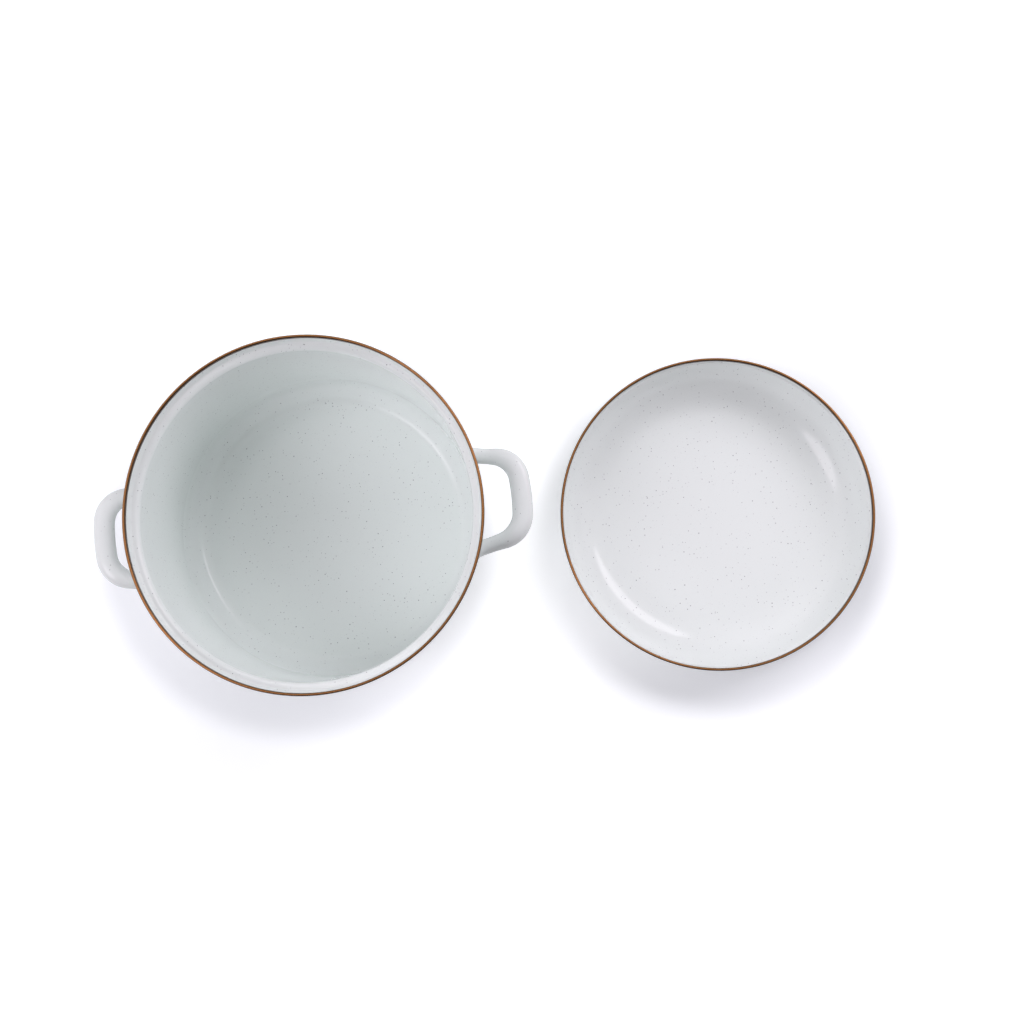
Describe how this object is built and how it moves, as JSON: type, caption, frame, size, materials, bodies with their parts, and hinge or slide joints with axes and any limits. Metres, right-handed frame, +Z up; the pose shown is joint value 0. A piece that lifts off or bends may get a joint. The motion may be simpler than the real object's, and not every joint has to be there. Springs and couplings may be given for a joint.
{
  "type": "enamel stockpot",
  "caption": "Round enamelled steel stockpot with loop handles, bronze-coloured rim bands and a loose deep-dish lid lying hollow side up beside it.",
  "frame": {"origin": "middle of the flat underside of the pot", "axes": "+Z up, +X along the handles towards the side where the lid lies, +Y completes the right-handed frame"},
  "size_m": [0.6717, 0.3116, 0.16],
  "materials": {
    "enamel": "glossy white vitreous enamel with fine dark specks",
    "bronze_band": "bronze-coloured satin metal"
  },
  "bodies": {
    "pot": {"pot_body": "enamel", "pot_rim_band": "bronze_band", "handle_left": "enamel", "handle_right": "enamel"},
    "lid": {"lid_dish": "enamel", "lid_rim_band": "bronze_band"}
  },
  "joints": [
    {"name": "lid_lift", "type": "slide", "parent": "pot", "child": "lid", "axis": [0, 0, 1], "range_m": [0, 0.25]}
  ]
}
